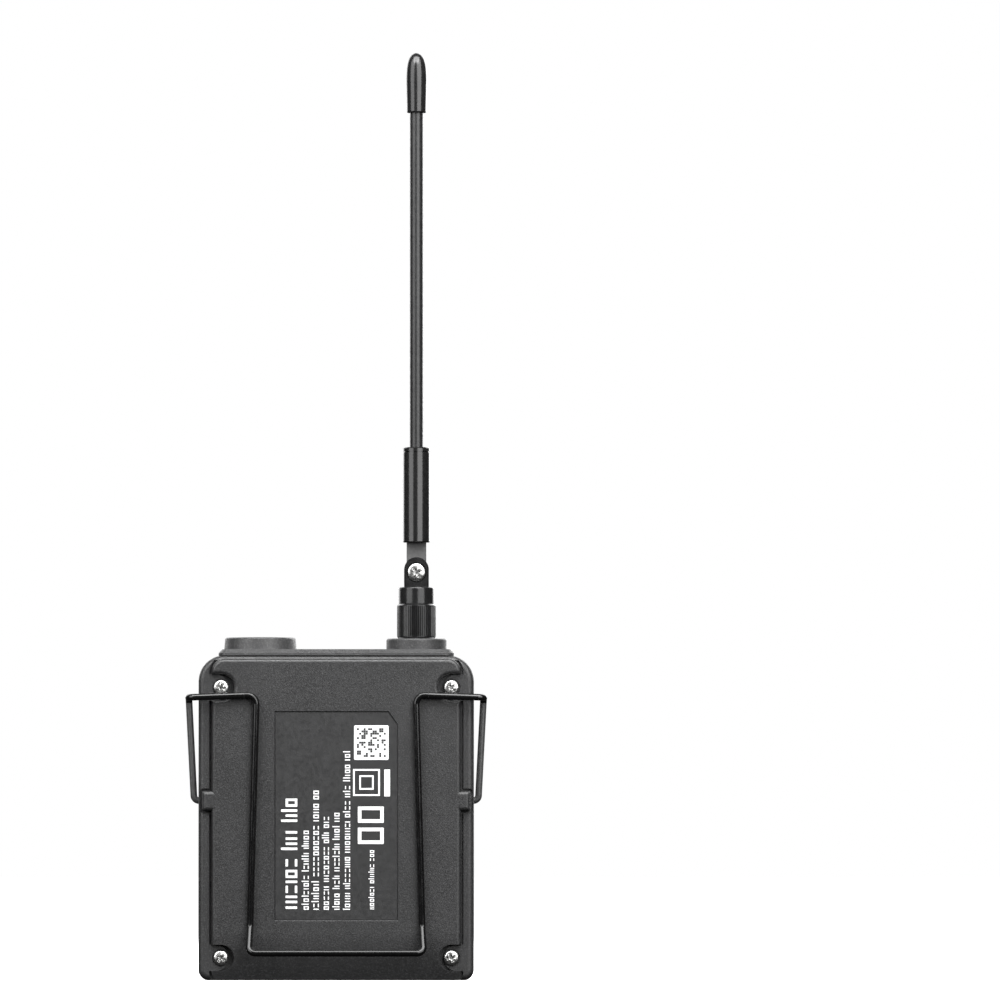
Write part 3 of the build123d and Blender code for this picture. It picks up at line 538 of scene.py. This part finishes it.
def make_screen_marks():
    """What the display shows: a level meter, a signal meter and a battery, with no lettering."""
    low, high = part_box("display_window")
    face = low.y
    data = bmesh.new()
    for index in range(METER_BARS):
        x = low.x + 6.0 * MM + index * 1.65 * MM
        height = 3.2 * MM if index < METER_LIT else 0.6 * MM
        front_bar(data, x, face, low.z + 5.0 * MM, 1.0 * MM, height, corner=0.1)
    for index in range(4):
        height = (2.9 - 0.7 * index) * MM
        front_bar(data, high.x - 5.0 * MM - index * 1.1 * MM, face, high.z - 6.4 * MM + height / 2,
                  0.6 * MM, height, corner=0.1)
    battery_x, battery_z = low.x + 7.4 * MM, high.z - 4.9 * MM
    for side in (-1, 1):
        front_bar(data, battery_x, face, battery_z + side * 1.2 * MM, 5.4 * MM, 0.3 * MM, corner=0)
        front_bar(data, battery_x + side * 2.55 * MM, face, battery_z, 0.3 * MM, 2.1 * MM, corner=0)
    front_bar(data, battery_x - 3.05 * MM, face, battery_z, 0.5 * MM, 1.1 * MM, corner=0)
    for index in range(3):
        front_bar(data, battery_x + (1.4 - 1.4 * index) * MM, face, battery_z,
                  1.0 * MM, 1.4 * MM, corner=0.05)
    front_bar(data, (low.x + high.x) / 2, face, low.z + 9.2 * MM,
              high.x - low.x - 9 * MM, 0.22 * MM, corner=0)
    new_piece("screen_marks", from_bmesh("screen_marks", data), "screen_light", "casing")


# ---------------------------------------------------------------- screws
def lathe(profile, steps=64):
    """A closed solid turned about Z. Its profile, of radius and height, runs from the bottom to the top."""
    data = bmesh.new()
    rings = []
    for radius, height in profile:
        if radius == 0:
            rings.append([data.verts.new((0, 0, height))])
        else:
            rings.append([data.verts.new((radius * math.cos(2 * math.pi * k / steps),
                                          radius * math.sin(2 * math.pi * k / steps), height))
                          for k in range(steps)])
    for lower, upper in zip(rings, rings[1:]):
        for k in range(steps):
            after = (k + 1) % steps
            corners = [lower[k % len(lower)], lower[after % len(lower)],
                       upper[after % len(upper)], upper[k % len(upper)]]
            unique = list(dict.fromkeys(corners))
            if len(unique) > 2:
                data.faces.new(unique)
    return data


def screw_mesh(head_radius, head_height, shank_radius, shank_length, turn):
    """A cross-head screw about Z: domed head with a rim, a tapered cross slot and a threaded shank."""
    profile = [(0, -shank_length), (shank_radius * 0.6, -shank_length)]
    pitch = shank_radius * 0.8
    turns = int(shank_length / pitch) - 1
    for index in range(turns):
        base = -shank_length + pitch * (index + 0.5)
        profile += [(shank_radius * 0.82, base), (shank_radius * 0.99, base + pitch * 0.5)]
    profile += [(shank_radius * 0.9, 0), (head_radius * 0.97, 0), (head_radius, head_height * 0.12),
                (head_radius, head_height * 0.42)]
    for step in range(1, 8):
        angle = math.radians(90 * step / 8)
        profile.append((head_radius * (0.62 + 0.38 * math.cos(angle)),
                        head_height * (0.42 + 0.44 * math.sin(angle))))
    profile += [(head_radius * 0.3, head_height * 0.96), (0, head_height)]
    head = bpy.data.objects.new("screw_blank", from_bmesh("screw_blank", lathe(profile)))
    bpy.context.scene.collection.objects.link(head)
    cutter_data = bmesh.new()
    for angle in (turn, turn + 90):
        half_long, half_wide = head_radius * 0.66, head_radius * 0.17
        top, bottom = head_height * 1.3, head_height * 0.18
        rotate = Matrix.Rotation(math.radians(angle), 4, "Z")
        corners = []
        for z, shrink in ((top, 1.12), (bottom, 0.55)):
            for side_x, side_y in ((-1, -1), (1, -1), (1, 1), (-1, 1)):
                x = side_x * half_long * shrink
                y = side_y * half_wide * (0.6 + 0.5 * shrink)
                corners.append(cutter_data.verts.new(rotate @ Vector((x, y, z))))
        cutter_data.faces.new(corners[:4])
        cutter_data.faces.new(corners[7:3:-1])
        for k in range(4):
            after = (k + 1) % 4
            cutter_data.faces.new((corners[after], corners[k], corners[k + 4], corners[after + 4]))
    cutter = bpy.data.objects.new("screw_cutter", from_bmesh("screw_cutter", cutter_data))
    bpy.context.scene.collection.objects.link(cutter)
    cut = head.modifiers.new("cross", "BOOLEAN")
    cut.operation = "DIFFERENCE"
    cut.solver = "EXACT"
    cut.use_self = True
    cut.object = cutter
    soften = head.modifiers.new("soften", "BEVEL")
    soften.width = head_radius * 0.03
    soften.segments = 2
    soften.limit_method = "ANGLE"
    apply_modifiers(head)
    mesh = head.data
    bpy.data.objects.remove(head)
    bpy.data.objects.remove(cutter)
    for face in mesh.polygons:
        face.use_smooth = True
    mesh.set_sharp_from_angle(angle=math.radians(35))
    return mesh


def place_screw(name, mesh, centre, body, node):
    """Stands a screw on its seat with its head towards the back."""
    mesh.transform(Matrix.Translation(centre) @ Matrix.Rotation(math.radians(-90), 4, "X"))
    piece = new_piece(name, mesh, "bright_screw", body)
    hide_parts(node)


CASE_HEAD = 1.6 * MM             # radius of a case screw's head
CASE_HEAD_HEIGHT = 1.05 * MM
CASE_SHANK = 0.85 * MM
PIVOT_HEAD_HEIGHT = 1.0 * MM
PIVOT_SHANK = 0.8 * MM


def make_screws():
    """The four case screws, each with its cross turned differently, and the antenna's pivot screw."""
    low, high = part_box("case_screws")
    seat = high.y - CASE_HEAD_HEIGHT
    for index, x in enumerate((low.x + CASE_HEAD, high.x - CASE_HEAD)):
        for row, z in enumerate((low.z + CASE_HEAD, high.z - CASE_HEAD)):
            turn = 20 + 34 * index + 21 * row
            mesh = screw_mesh(CASE_HEAD, CASE_HEAD_HEIGHT, CASE_SHANK, seat - low.y, turn)
            place_screw(f"case_screw_{index}{row}", mesh, (x, seat, z), "casing", "case_screws")
    low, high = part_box("antenna_pivot_screw")
    middle = (low + high) / 2
    seat = high.y - PIVOT_HEAD_HEIGHT
    length = high.y - low.y - PIVOT_HEAD_HEIGHT
    mesh = screw_mesh((high.x - low.x) / 2, PIVOT_HEAD_HEIGHT, PIVOT_SHANK, length, 28)
    place_screw("pivot_screw", mesh, (middle.x, seat, middle.z), "knuckle", "antenna_pivot_screw")


# ---------------------------------------------------------------- build
make_camera()
make_lights()
make_floor()
make_surroundings()
dress_cad_nodes()
make_label_print()
make_code_cells()
make_key_marks()
make_screen_marks()
make_screws()
